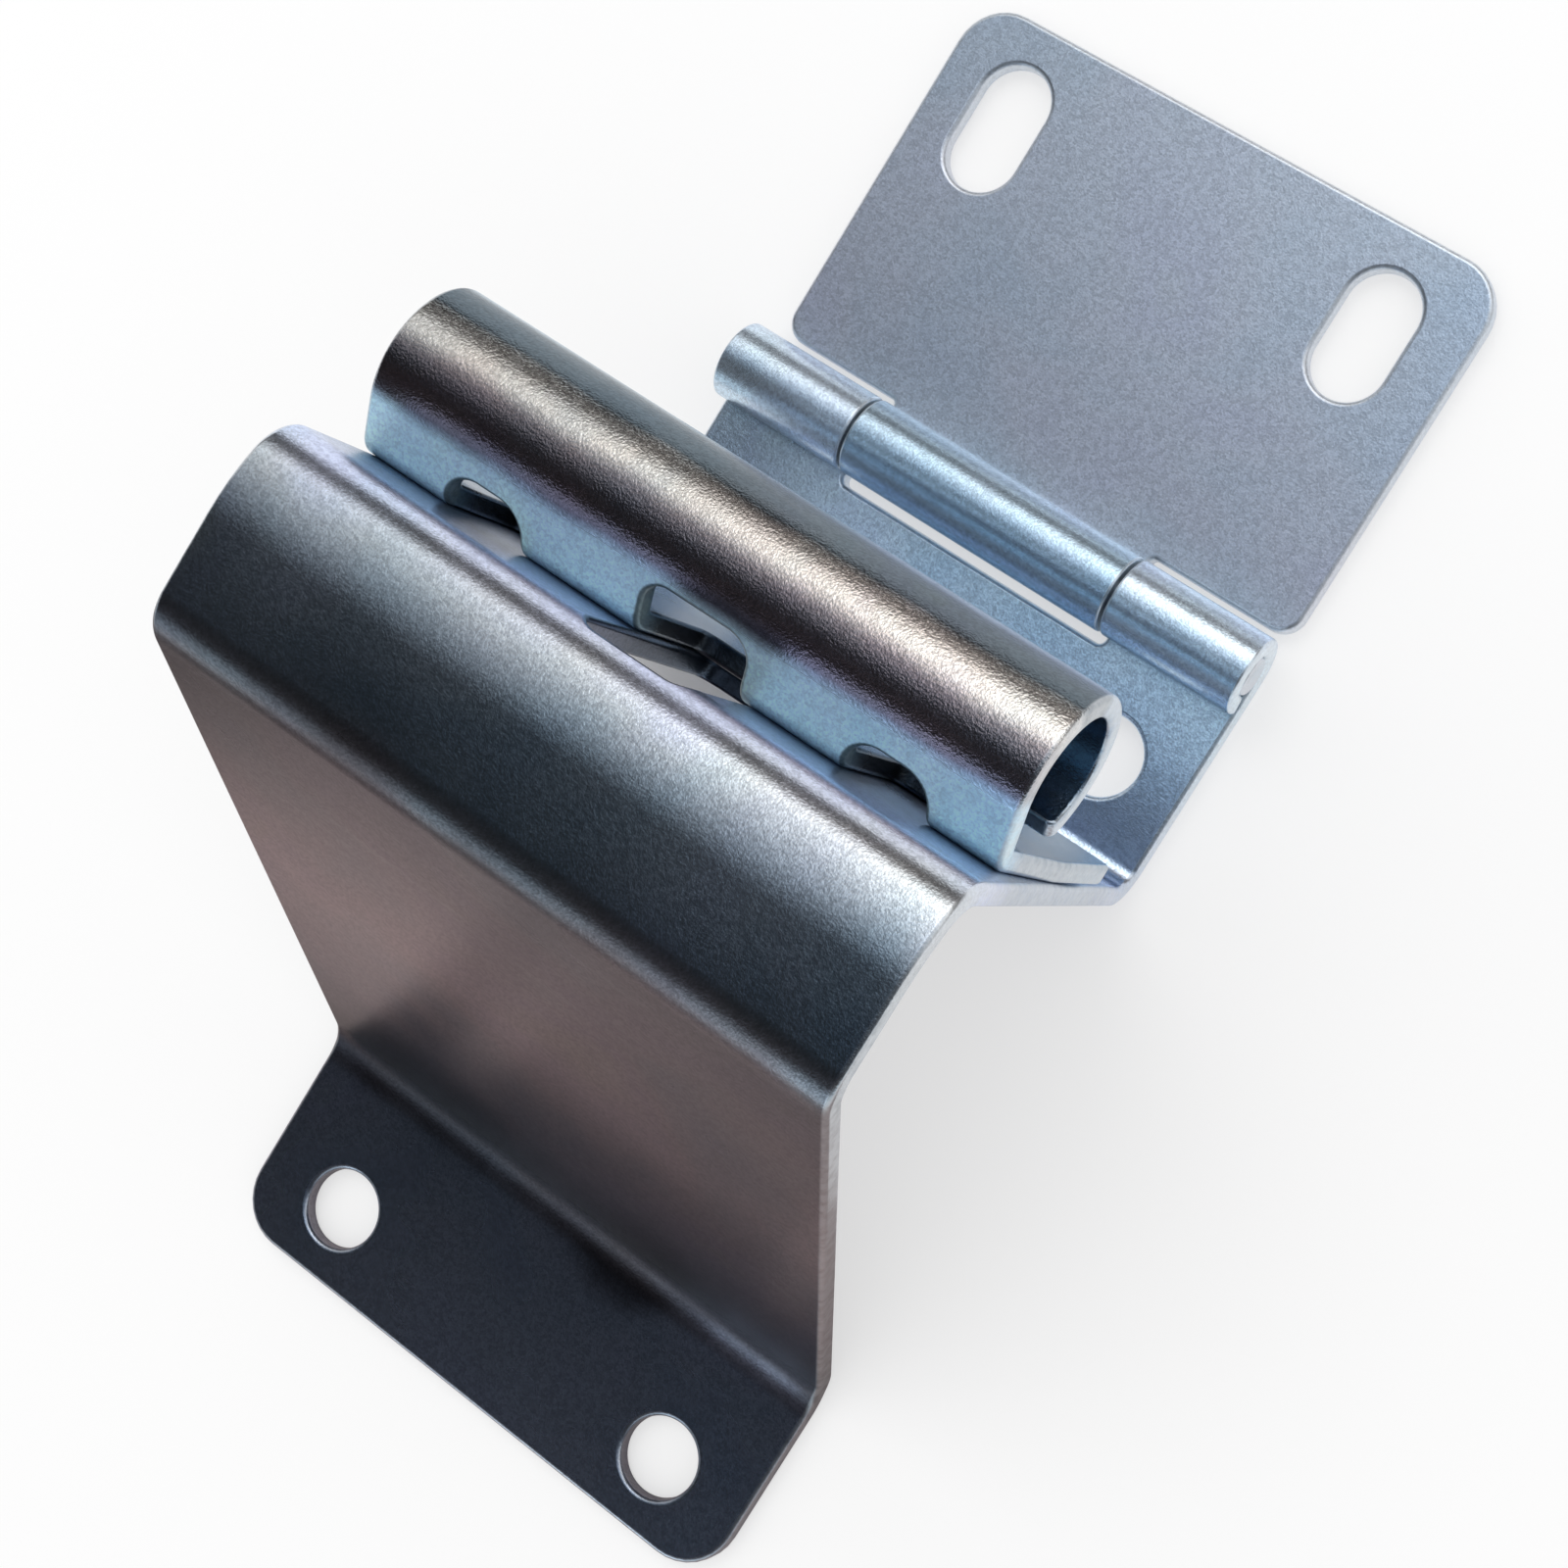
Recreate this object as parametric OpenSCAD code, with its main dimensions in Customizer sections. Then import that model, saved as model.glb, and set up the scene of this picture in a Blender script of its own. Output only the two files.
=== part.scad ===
// Sectional door side hinge with a rolled roller carrier, laid on its back.
// X along the hinge pin, Y up the door, Z out of the door panel.
// The base holes lie on y = 0 and the panel face is z = 0.

/* [Sheet] */
// Thickness of the bent sheet
sheet_t = 2; // [1.5:0.1:2.2]

/* [Main leaf] */
// Height of the plateau above the panel
plateau_h = 66; // [64:1:80]
// Length of the plateau up the door
plateau_l = 19.5; // [16:0.1:26]
// Width of the plateau and the crest
plateau_w = 70; // [66:0.5:80]
// Length the slanted web covers up the door
web_l = 37; // [30:0.5:46]
// Length of the foot tab
foot_l = 22.1; // [20:0.1:30]
// Width of the foot tab
foot_w = 62.4; // [56:0.1:64]
// Corner radius of the foot tab
foot_corner_r = 5.5; // [2:0.5:7]
// Distance of the foot holes from the free edge
foot_hole_in = 7.6; // [6.5:0.1:10]
// Width of the base plate and of the row of knuckles
base_w = 61; // [58:0.5:64]
// Shift of the base plate to the right
base_shift = -0.5; // [-1:0.1:1]
// Distance from the step face to the hinge axis
axis_from_step = 22.9; // [22:0.1:28]
// Distance from the step face to the base holes
hole_from_step = 9.4; // [9:0.1:10.5]
// Spacing of the hole pairs in all three plates
hole_spacing = 42; // [38:0.5:44]
// Diameter of the round holes
hole_d = 8; // [6:0.5:9]
// Inner radius of the crest and plateau bends
crest_bend_r = 3; // [2:0.5:5]
// Inner radius of the bend between foot and web
foot_bend_r = 5; // [3:0.5:8]
// Inner radius of the bend between step and base
base_bend_r = 2; // [1:0.5:3]

/* [Step opening] */
// Width of the opening in the step
step_slot_w = 11; // [8:0.5:13]
// Depth of its upper edge below the plateau face
step_slot_drop = 1.5; // [1:0.1:3]
// Height of its lower edge above the panel
step_slot_low = 34; // [24:1:50]
// Shift of the opening to the right
step_slot_shift = 1.5; // [-2:0.5:3]
// Radius of its two upper corners
step_slot_corner_r = 2; // [1:0.5:2]

/* [Knuckles and pin] */
// Pin diameter
pin_d = 4; // [3.6:0.1:4.4]
// Radial running clearance in the middle knuckle
pin_clear = 0.05; // [0.03:0.01:0.1]
// Angle each knuckle is rolled through
knuckle_sweep = 294; // [280:1:296]
// Left end of the middle knuckle
mid_left = -15.4; // [-18:0.1:-14]
// Right end of the middle knuckle
mid_right = 15.1; // [13:0.1:18]
// Gap between neighbouring knuckles
knuckle_gap = 0.3; // [0.2:0.05:0.8]
// Slit between the middle knuckle and the window edge
window_slit = 1.35; // [1:0.05:2]
// Radius of the window corners
window_corner_r = 0.6; // [0.3:0.1:0.9]

/* [Upper leaf] */
// Width of the upper leaf
leaf_w = 60; // [56:0.5:62]
// Shift of the upper leaf to the right
leaf_shift = 0.5; // [-0.5:0.1:0.8]
// Distance from the hinge axis to the free edge
leaf_l = 42.5; // [41:0.5:48]
// Radius of the two corners at the free edge
leaf_corner_r = 5; // [2:0.5:8]
// Radius of the two corners beside the knuckles
leaf_inner_r = 2.4; // [1:0.2:4]
// Gap between the upper leaf and the outer knuckles
leaf_gap = 0.5; // [0.4:0.05:1]
// Slot width
slot_w = 7.5; // [6:0.5:8.5]
// Slot length over both round ends
slot_l = 13; // [11:0.5:15]
// Distance of the slots from the hinge axis
slot_from_axis = 31.9; // [29:0.1:32.5]

/* [Roller carrier] */
// Length of the carrier
carrier_w = 67; // [62:0.5:70]
// Shift of the carrier to the right
carrier_shift = -1.1; // [-2:0.1:1]
// Inner diameter of the curl that takes the roller stem
stem_d = 11; // [10.5:0.1:11.5]
// Height of the curl axis above the panel
curl_h = 48.2; // [47:0.1:52]
// Distance from the step face to the curl axis
curl_from_step = 8.8; // [8.6:0.1:9.4]
// Angle of the curl after the neck
curl_sweep = 262; // [250:1:264]
// Height of the free edge of the flange above the panel
flange_low = 21; // [16:0.5:26]
// Height above which the flange lies flat on the step
flange_flat_low = 35; // [30:0.5:36]
// Distance the free edge stands off the step
flange_lift = 0.7; // [0:0.1:1.2]
// Inner radius of the bend between flange and neck
neck_bend_r = 1; // [0.6:0.1:1.4]
// Angle of that bend
neck_bend = 54; // [50:2:58]
// Width of the two outer cut-outs
side_cut_w = 8; // [6:0.2:10]
// Distance from the step face to their upper edges
side_cut_reach = 3; // [2.6:0.1:3.2]
// Radius of their upper corners
side_cut_corner_r = 3; // [1:0.5:3]
// Width of the middle cut-out
mid_cut_w = 10.6; // [8:0.2:13]
// Distance from the step face to its upper edge
mid_cut_reach = 4.8; // [4:0.1:5]
// Shift of the middle cut-out to the right
mid_cut_shift = 0.5; // [-1:0.5:1]
// Radius of its upper corners
mid_cut_corner_r = 2.2; // [1:0.2:3]
// Height of the lower edges of the cut-outs in the flange
cut_low = 37; // [36.5:0.5:42]

/* [Hidden] */
$fn = 64;

// Colours of bright, shaded and pin steel
zinc = [0.72, 0.76, 0.82];
zinc_shade = [0.56, 0.60, 0.67];
steel = [0.66, 0.67, 0.70];

// Hinge axis; the upper sheet is thinner by the clearance, so both backs lie in one plane
pin_r = pin_d / 2;
knuckle_r = pin_r + sheet_t;
step_y = -hole_from_step;
axis_y = step_y + axis_from_step;
axis_z = knuckle_r;
leaf_bore_r = pin_r + pin_clear;
leaf_t = sheet_t - pin_clear;

// Main leaf along Y, measured on its upper face
crest_r = crest_bend_r + sheet_t;
plateau_y = step_y - plateau_l;
web_y = plateau_y - web_l;
foot_y = web_y - foot_l;
web_rise = plateau_h - sheet_t;
web_angle = atan2(web_rise, web_l);
web_face = sqrt(web_l * web_l + web_rise * web_rise);
foot_tangent = foot_bend_r * tan(web_angle / 2);
plateau_tangent = crest_r * tan(web_angle / 2);
base_left = base_shift - base_w / 2;
base_right = base_shift + base_w / 2;
window_y = axis_y - knuckle_r - window_slit;

// Centre of the crest bend and direction of the cut that ends the step opening
crest_y = step_y - crest_r;
crest_z = plateau_h - crest_r;
slot_angle = asin(1 - step_slot_drop / crest_r);
slot_drop_angle = 42;

// Curl axis, and the bend centre that brings a straight neck to it
curl_r = stem_d / 2;
neck_l = (curl_from_step - sheet_t - neck_bend_r - (curl_r - neck_bend_r) * cos(neck_bend))
    / sin(neck_bend);
neck_z = curl_h - neck_l * cos(neck_bend) + (curl_r - neck_bend_r) * sin(neck_bend);
curl_start = 180 - neck_bend;
// Height from which the cut-outs pass in front of the free end of the curl
neck_cut_low = 46.5;

// Overlap of a cutting shape past the face it cuts, and reach of a sector past any bend
over = 1;
flange_over = 0.3;
sector_reach = 100;
// Overlap of a slanted strip with the bends at its ends
join = 0.001;
mid_x = (mid_left + mid_right) / 2;
window_w = mid_right - mid_left + 2 * knuckle_gap;

// A sector of a sheet bend with inner radius r, from one angle to a larger one
module bend(r, t, from, to) {
    steps = ceil((to - from) / 45);
    rim = [for (i = [0 : steps]) from + (to - from) * i / steps];
    intersection() {
        difference() {
            circle(r + t);
            circle(r);
        }
        polygon(concat([[0, 0]], [for (a = rim) sector_reach * [cos(a), sin(a)]]));
    }
}

// A plate from y = 0 upward with the two corners at y = 0 rounded
module tab(w, l, r) {
    translate([-w / 2, r])
        square([w, l - r]);
    translate([r - w / 2, 0])
        square([w - 2 * r, r + over]);
    for (side = [-1, 1])
        translate([side * (w / 2 - r), r])
            circle(r);
}

// A profile drawn in the Y-Z plane, carried along X
module along_x(from, to) {
    translate([from, 0, 0])
        rotate([90, 0, 90])
            linear_extrude(to - from)
                children();
}

// A shape drawn in the X-Y plane, carried up from one height to another
module upward(from, to) {
    translate([0, 0, from])
        linear_extrude(to - from)
            children();
}

// Foot, web and plateau seen from the end
module front_profile() {
    translate([foot_y, 0])
        square([foot_l - foot_tangent, sheet_t]);
    translate([web_y - foot_tangent, sheet_t + foot_bend_r])
        bend(foot_bend_r, sheet_t, -90, web_angle - 90);
    translate([web_y, sheet_t])
        rotate(web_angle)
            translate([foot_tangent - join, -sheet_t])
                square([web_face - foot_tangent - plateau_tangent + 2 * join, sheet_t]);
    translate([plateau_y + plateau_tangent, crest_z])
        bend(crest_bend_r, sheet_t, 90, 90 + web_angle);
    translate([plateau_y + plateau_tangent, plateau_h - sheet_t])
        square([crest_y - plateau_y - plateau_tangent, sheet_t]);
}

// Foot, web and plateau seen from above
module front_outline() {
    translate([0, foot_y])
        tab(foot_w, foot_l, foot_corner_r);
    polygon([
        [-foot_w / 2, web_y],
        [foot_w / 2, web_y],
        [plateau_w / 2, plateau_y],
        [plateau_w / 2, crest_y],
        [-plateau_w / 2, crest_y],
        [-plateau_w / 2, plateau_y]
    ]);
}

// Crest, step and base bend seen from the end
module step_profile() {
    translate([crest_y, crest_z])
        bend(crest_bend_r, sheet_t, 0, 90);
    translate([step_y - sheet_t, sheet_t + base_bend_r])
        square([sheet_t, crest_z - sheet_t - base_bend_r]);
    translate([step_y + base_bend_r, sheet_t + base_bend_r])
        bend(base_bend_r, sheet_t, 180, 270);
}

// The step seen along Y, narrow at the base and wide at the crest
module step_outline() {
    low = sheet_t + base_bend_r;
    polygon([
        [base_left, -over],
        [base_right, -over],
        [base_right, low],
        [plateau_w / 2, crest_z],
        [plateau_w / 2, plateau_h + over],
        [-plateau_w / 2, plateau_h + over],
        [-plateau_w / 2, crest_z],
        [base_left, low]
    ]);
}

// Opening in the step, its upper edge cut square to the crest bend
module step_opening() {
    low_angle = slot_angle - slot_drop_angle;
    reach = 2 * crest_r;
    translate([step_slot_shift, crest_y, crest_z]) {
        rotate([slot_angle, 0, 0])
            rotate([-90, 0, 0])
                linear_extrude(reach)
                    tab(step_slot_w, crest_r - 1, step_slot_corner_r);
        along_x(-step_slot_w / 2, step_slot_w / 2)
            polygon([
                [0, 0],
                reach * [cos(low_angle), sin(low_angle)],
                [reach, step_slot_low - crest_z],
                [0, step_slot_low - crest_z]
            ]);
    }
}

// Round holes of one pair
module hole_pair(y) {
    for (side = [-1, 1])
        translate([side * hole_spacing / 2, y, -over])
            cylinder(d = hole_d, h = sheet_t + 2 * over);
}

// Hat-shaped main leaf with the two outer knuckles
module main_leaf() {
    color(zinc)
        difference() {
            union() {
                intersection() {
                    along_x(-plateau_w / 2, plateau_w / 2)
                        front_profile();
                    upward(-over, plateau_h + over)
                        front_outline();
                }
                intersection() {
                    along_x(-plateau_w / 2, plateau_w / 2)
                        step_profile();
                    translate([0, step_y + plateau_l, 0])
                        rotate([90, 0, 0])
                            linear_extrude(2 * plateau_l)
                                step_outline();
                }
                along_x(base_left, base_right) {
                    translate([step_y + base_bend_r, 0])
                        square([axis_from_step - base_bend_r, sheet_t]);
                    translate([axis_y, axis_z])
                        bend(pin_r, sheet_t, -90, knuckle_sweep - 90);
                }
            }
            step_opening();
            hole_pair(0);
            hole_pair(foot_y + foot_hole_in);
            upward(-over, 2 * knuckle_r + over)
                translate([mid_x, window_y])
                    tab(window_w, window_slit + 3 * knuckle_r, window_corner_r);
        }
}

// One slot of the upper leaf with two round ends
module slot() {
    for (side = [-1, 1])
        translate([0, side * (slot_l - slot_w) / 2, -over])
            cylinder(d = slot_w, h = sheet_t + 2 * over);
    translate([-slot_w / 2, (slot_w - slot_l) / 2, -over])
        cube([slot_w, slot_l - slot_w, sheet_t + 2 * over]);
}

// Flat upper leaf with the middle knuckle
module upper_leaf() {
    plate_y = axis_y + knuckle_r + leaf_gap;
    plate_l = axis_y + leaf_l - plate_y;
    color(zinc_shade)
        difference() {
            union() {
                upward(0, leaf_t)
                    translate([leaf_shift, plate_y]) {
                        tab(leaf_w, plate_l / 2, leaf_inner_r);
                        translate([0, plate_l])
                            mirror([0, 1])
                                tab(leaf_w, plate_l / 2 + over, leaf_corner_r);
                    }
                along_x(mid_left, mid_right) {
                    translate([axis_y, 0])
                        square([plate_y - axis_y + leaf_inner_r, leaf_t]);
                    translate([axis_y, axis_z])
                        bend(leaf_bore_r, leaf_t, 270 - knuckle_sweep, 270);
                }
            }
            for (side = [-1, 1])
                translate([side * hole_spacing / 2, axis_y + slot_from_axis, 0])
                    slot();
        }
}

// Plain pin, held in the outer knuckles
module hinge_pin() {
    color(steel)
        translate([base_left, axis_y, axis_z])
            rotate([0, 90, 0])
                cylinder(r = pin_r, h = base_w);
}

// Flange, neck and curl of the carrier seen from the end
module carrier_profile() {
    polygon([
        [step_y, neck_z],
        [step_y, flange_flat_low],
        [step_y + flange_lift, flange_low],
        [step_y + flange_lift + sheet_t, flange_low],
        [step_y + sheet_t, flange_flat_low],
        [step_y + sheet_t, neck_z]
    ]);
    translate([step_y + sheet_t + neck_bend_r, neck_z]) {
        bend(neck_bend_r, sheet_t, curl_start, 180);
        rotate(90 - neck_bend)
            translate([-join, neck_bend_r])
                square([neck_l + 2 * join, sheet_t]);
    }
    translate([step_y + curl_from_step, curl_h])
        bend(curl_r, sheet_t, curl_start - curl_sweep, curl_start);
}

// One cut-out through the neck and the upper part of the flange
module neck_cut(x, w, reach, r) {
    translate([x, step_y + reach, 0]) {
        upward(neck_cut_low, plateau_h)
            mirror([0, 1])
                tab(w, reach + over, r);
        translate([-w / 2, -reach - over, cut_low])
            cube([w, over + sheet_t + flange_over, neck_cut_low + over - cut_low]);
    }
}

// Rolled carrier for the roller stem
module roller_carrier() {
    left = carrier_shift - carrier_w / 2;
    color(zinc)
        difference() {
            along_x(left, left + carrier_w)
                carrier_profile();
            for (side = [-1, 1])
                neck_cut(side * hole_spacing / 2, side_cut_w, side_cut_reach, side_cut_corner_r);
            neck_cut(mid_cut_shift, mid_cut_w, mid_cut_reach, mid_cut_corner_r);
        }
}

main_leaf();
upper_leaf();
hinge_pin();
roller_carrier();
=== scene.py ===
import bpy
import numpy as np
from math import radians
from mathutils import Euler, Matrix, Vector
from mathutils.geometry import delaunay_2d_cdt


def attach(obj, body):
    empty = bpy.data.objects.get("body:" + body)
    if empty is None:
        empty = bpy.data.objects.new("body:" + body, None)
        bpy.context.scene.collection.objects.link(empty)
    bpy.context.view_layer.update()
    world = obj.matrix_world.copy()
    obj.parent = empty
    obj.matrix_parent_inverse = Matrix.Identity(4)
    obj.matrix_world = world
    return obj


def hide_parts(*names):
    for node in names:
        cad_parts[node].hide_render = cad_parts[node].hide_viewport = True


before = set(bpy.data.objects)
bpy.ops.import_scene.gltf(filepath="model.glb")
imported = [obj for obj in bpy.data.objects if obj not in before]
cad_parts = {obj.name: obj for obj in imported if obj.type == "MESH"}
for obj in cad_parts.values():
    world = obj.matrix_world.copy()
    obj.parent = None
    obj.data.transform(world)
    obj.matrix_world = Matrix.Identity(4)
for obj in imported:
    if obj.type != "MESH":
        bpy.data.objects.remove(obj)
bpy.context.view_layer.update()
mm = 0.001
print("stage: CAD frame loaded")


# Sheet path. Each move is (length of the mid line in mm, turn in degrees to the left).
# A move is an arc of constant curvature, and its chord is length times sin(half turn) / half turn.
def layPath(start, heading, moves):
    length = np.array([m[0] for m in moves], float)
    turn = np.radians([m[1] for m in moves])
    angle = radians(heading) + np.cumsum(turn) - turn
    chord = length * np.sinc(turn / (2 * np.pi))
    step = np.stack([chord * np.cos(angle + turn / 2), chord * np.sin(angle + turn / 2)], 1)
    corner = np.array(start, float) + np.cumsum(step, 0) - step
    return dict(s=np.cumsum(length) - length, angle=angle, curve=turn / length, corner=corner,
                end=float(length.sum()), turn=turn)


# Arc moves named by inner radius, sheet thickness and angle.
def arcMove(innerRadius, thickness, turn):
    return ((innerRadius + thickness / 2) * abs(radians(turn)), turn)


# Place and heading at distance s: start of the move plus the chord of what is left of it.
def onPath(path, s):
    i = np.clip(np.searchsorted(path["s"], s, side="right") - 1, 0, len(path["s"]) - 1)
    ds = s - path["s"][i]
    turn = path["curve"][i] * ds
    chord = ds * np.sinc(turn / (2 * np.pi))
    middle = path["angle"][i] + turn / 2
    place = path["corner"][i] + np.stack([chord * np.cos(middle), chord * np.sin(middle)], 1)
    return place, path["angle"][i] + turn


# Distances at which the flat pattern gets a fold line: ends of each bend, and every few degrees in it.
def foldLines(path, degrees):
    count = np.maximum(1, np.ceil(np.degrees(np.abs(path["turn"])) / degrees)).astype(int)
    ends = np.append(path["s"][1:], path["end"])
    inside = [np.linspace(a, b, n + 1)[:-1] for a, b, n in zip(path["s"], ends, count)]
    return np.concatenate(inside)[1:]


# Closed loop with rounded corners: at each corner the radius vector turns evenly from one tangent
# point to the other, a slerp between the two.
def roundedLoop(corners, radii, steps=8):
    p = np.array(corners, float)
    r = np.broadcast_to(np.array(radii, float), len(p))[:, None]
    u = np.roll(p, 1, 0) - p
    v = np.roll(p, -1, 0) - p
    u /= np.linalg.norm(u, axis=1, keepdims=True)
    v /= np.linalg.norm(v, axis=1, keepdims=True)
    half = np.arccos(np.clip((u * v).sum(1, keepdims=True), -1, 1)) / 2
    centre = p + (u + v) / np.linalg.norm(u + v, axis=1, keepdims=True) * r / np.sin(half)
    a = p + u * r / np.tan(half) - centre
    b = p + v * r / np.tan(half) - centre
    sweep = (np.pi - 2 * half)[:, :, None]
    t = np.linspace(0, 1, steps + 1)[None, :, None]
    arc = (np.sin((1 - t) * sweep) * a[:, None] + np.sin(t * sweep) * b[:, None]) / np.sin(sweep)
    return (centre[:, None] + arc).reshape(-1, 2)


# Circle as a loop: radius times (cos, sin) at even angles.
def circleLoop(s, x, r, steps=80):
    a = np.arange(steps) / steps * 2 * np.pi + 0.013
    return np.stack([s + r * np.cos(a), x + r * np.sin(a)], 1)


# Rectangle loop from its middle, half sizes and corner radius.
def boxLoop(s0, s1, x0, x1, r, steps=8):
    return roundedLoop([(s0, x0), (s1, x0), (s1, x1), (s0, x1)], r, steps)


# Signed area, half the sum of the cross products of neighbouring points.
def signedArea(loop):
    nxt = np.roll(loop, -1, 0)
    return 0.5 * (loop[:, 0] * nxt[:, 1] - nxt[:, 0] * loop[:, 1]).sum()


# Unit direction into the material at each loop point: the mean of the left normals of its two edges,
# with the mitre length that keeps an offset edge parallel.
def inward(loop):
    edge = np.roll(loop, -1, 0) - loop
    edge /= np.linalg.norm(edge, axis=1, keepdims=True)
    left = np.stack([-edge[:, 1], edge[:, 0]], 1)
    mean = left + np.roll(left, 1, 0)
    mean /= np.linalg.norm(mean, axis=1, keepdims=True)
    mitre = 1 / np.clip((mean * left).sum(1, keepdims=True), 0.5, 1)
    return mean, mitre


# Even-odd test: a point is inside where a ray along x crosses the loops an odd number of times.
def insideLoops(points, loops):
    a = np.concatenate(loops)
    b = np.concatenate([np.roll(l, -1, 0) for l in loops])
    s, x = points[:, 0:1], points[:, 1:2]
    straddle = (a[None, :, 0] > s) != (b[None, :, 0] > s)
    rise = np.where(b[:, 0] == a[:, 0], 1e-12, b[:, 0] - a[:, 0])
    cross = a[None, :, 1] + (s - a[None, :, 0]) / rise[None] * (b - a)[None, :, 1]
    return ((straddle & (cross > x)).sum(1) % 2) == 1


# A point of the loop for each crossing with a fold line, by the share of the edge that lies before it.
def addCrossings(inner, outer, lines):
    nextInner, nextOuter = np.roll(inner, -1, 0), np.roll(outer, -1, 0)
    rise = nextInner[:, 0] - inner[:, 0]
    rise = np.where(np.abs(rise) < 1e-9, np.nan, rise)
    share = (lines[None] - inner[:, 0:1]) / rise[:, None]
    edge, line = np.nonzero((share > 1e-5) & (share < 1 - 1e-5))
    key = np.concatenate([np.arange(len(inner)), edge + share[edge, line]])
    key.sort()
    i = np.floor(key).astype(int) % len(inner)
    f = (key - np.floor(key))[:, None]
    return inner[i] * (1 - f) + nextInner[i] * f, outer[i] * (1 - f) + nextOuter[i] * f


# A bent sheet from its flat pattern (s along the path, x across it).
# The two faces are the pattern drawn in by the edge radius and triangulated between fold lines; the
# edge is a band of rings that rolls over from face to face. Each point (s, x, h) goes to the
# path point at s, plus h times the path normal, with x kept.
def sheetPiece(name, path, thickness, loops, foldStep, topRadius, backRadius, side=1, rimsAndShade=None):
    lines = foldLines(path, foldStep)
    rings = []
    for k, loop in enumerate(loops):
        loop = loop if (signedArea(loop) > 0) == (k == 0) else loop[::-1]
        into, mitre = inward(loop)
        rings.append(addCrossings(loop + into * mitre * topRadius, loop, lines))
    inner = np.concatenate([r[0] for r in rings])
    outer = np.concatenate([r[1] for r in rings])
    count = np.array([len(r[0]) for r in rings])
    first = np.repeat(np.cumsum(count) - count, count)
    index = np.arange(len(inner))
    following = first + (index - first + 1) % np.repeat(count, count)
    into = np.concatenate([inward(r[1])[0] for r in rings])

    rows = []
    for line in lines:
        on = np.nonzero(np.abs(inner[:, 0] - line) < 1e-5)[0]
        on = on[np.argsort(inner[on, 1])]
        if len(on) > 1:
            middle = (inner[on[:-1]] + inner[on[1:]]) / 2
            keep = insideLoops(middle, [r[0] for r in rings]) & (np.diff(inner[on, 1]) > 1e-3)
            rows.append(np.stack([on[:-1][keep], on[1:][keep]], 1))
    edges = np.concatenate([np.stack([index, following], 1)] + rows)
    got = delaunay_2d_cdt([Vector(p) for p in inner.tolist()], edges.tolist(), [], 0, 1e-7)
    flat = np.array([v[:] for v in got[0]])
    source = np.array([o[0] if len(o) else -1 for o in got[3]])
    tris = np.array([f for f in got[2]])
    tris = tris[insideLoops(flat[tris].mean(1), [r[0] for r in rings])]
    n = len(inner)
    extra = np.nonzero(source < 0)[0]
    source[extra] = n + np.arange(len(extra))
    tris = source[tris]

    half = thickness / 2
    roll = np.radians([0, 22.5, 45, 67.5, 90])
    inset = np.concatenate([topRadius * (1 - np.sin(roll)), backRadius * (1 - np.cos(roll)), [topRadius]])
    height = np.concatenate([half - topRadius * (1 - np.cos(roll)), backRadius * (1 - np.sin(roll)) - half, [-half]])
    lean = np.concatenate([np.cos(roll), -np.sin(roll), [-1]])  # share of the face normal
    levels = len(inset)

    share = (inset / topRadius)[:, None, None]
    flatAll = (outer[None] * (1 - share) + inner[None] * share).reshape(-1, 2)
    h = np.repeat(height, n)
    up = np.repeat(lean, n)
    out = np.repeat(np.sqrt(np.clip(1 - lean ** 2, 0, 1)), n)
    dirs = np.tile(-into, (levels, 1))
    onRim = np.where((np.arange(levels) > 0) & (np.arange(levels) < levels - 2), 1.0, 0.0)
    # Each loop's cut: above 0 it shows brighter bare metal, below 0 it gets painted shade, a darker cut wall where one
    # looks into the hollow.
    rimBrightAndShade = np.repeat(np.ones(len(loops)) if rimsAndShade is None else np.array(rimsAndShade), count)  # how bright each loop's cut is, below 0 dull
    rim = (onRim[:, None] * rimBrightAndShade[None]).ravel()
    faces = [tris.tolist()]
    ladder = (np.arange(levels - 1) * n)[:, None]
    quads = np.stack([ladder + index, ladder + following, ladder + n + following, ladder + n + index], 2)
    faces.append(quads.reshape(-1, 4).tolist())
    bottom = np.where(tris < n, tris + (levels - 1) * n, tris)
    if len(extra):  # points that only the triangulation made, one for each face of the sheet
        topExtra, backExtra = levels * n, levels * n + len(extra)
        faces[0] = np.where(tris < n, tris, tris - n + topExtra).tolist()
        bottom = np.where(tris < n, bottom, tris - n + backExtra)
        flatAll = np.concatenate([flatAll, flat[extra], flat[extra]])
        ones = np.ones(len(extra))
        h = np.concatenate([h, ones * half, -ones * half])
        up = np.concatenate([up, ones, -ones])
        out = np.concatenate([out, 0 * ones, 0 * ones])
        dirs = np.concatenate([dirs, np.zeros((2 * len(extra), 2))])
        rim = np.concatenate([rim, 0 * ones, 0 * ones])
    faces.append(bottom[:, ::-1].tolist())

    place, angle = onPath(path, flatAll[:, 0])
    along = np.stack([0 * angle, np.cos(angle), np.sin(angle)], 1)
    normal = np.stack([0 * angle, -np.sin(angle), np.cos(angle)], 1) * side
    points = np.stack([flatAll[:, 1], place[:, 0], place[:, 1]], 1) + normal * h[:, None]
    smooth = normal * up[:, None] + out[:, None] * (along * dirs[:, 0:1] + np.array([[1, 0, 0]]) * dirs[:, 1:2])
    sheetPos = np.stack([flatAll[:, 0], flatAll[:, 1], h], 1)
    return meshPiece(name, points, sum(faces, []), smooth, rim=rim, sheetPos=sheetPos * mm)


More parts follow.
